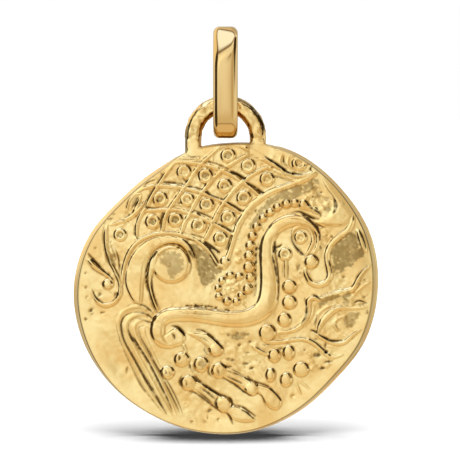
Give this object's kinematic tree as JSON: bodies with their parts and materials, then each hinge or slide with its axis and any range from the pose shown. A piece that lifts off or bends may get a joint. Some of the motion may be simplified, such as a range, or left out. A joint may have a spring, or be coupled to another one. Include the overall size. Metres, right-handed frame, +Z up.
{
  "type": "medallion pendant",
  "caption": "Cast gold disc pendant with a horse in low relief under a netted sail, hung by its pierced eye in a long folded bail that swings freely.",
  "frame": {"origin": "inner top of the bail, where a chain or cord lies", "axes": "+Z up, -Y out of the disc's relief face, +X to the right seen from the front"},
  "size_m": [0.0245, 0.005, 0.0326],
  "materials": {
    "polished_gold": "polished",
    "cast_gold": "polished cast"
  },
  "bodies": {
    "bail": {"bail": "polished_gold"},
    "medallion": {"medallion": "cast_gold"}
  },
  "joints": [
    {"name": "medallion_swing", "type": "hinge", "parent": "bail", "child": "medallion", "pos_m": [0, 0, -0.0055], "axis": [1, 0, 0], "range_deg": [-80, 80]}
  ]
}
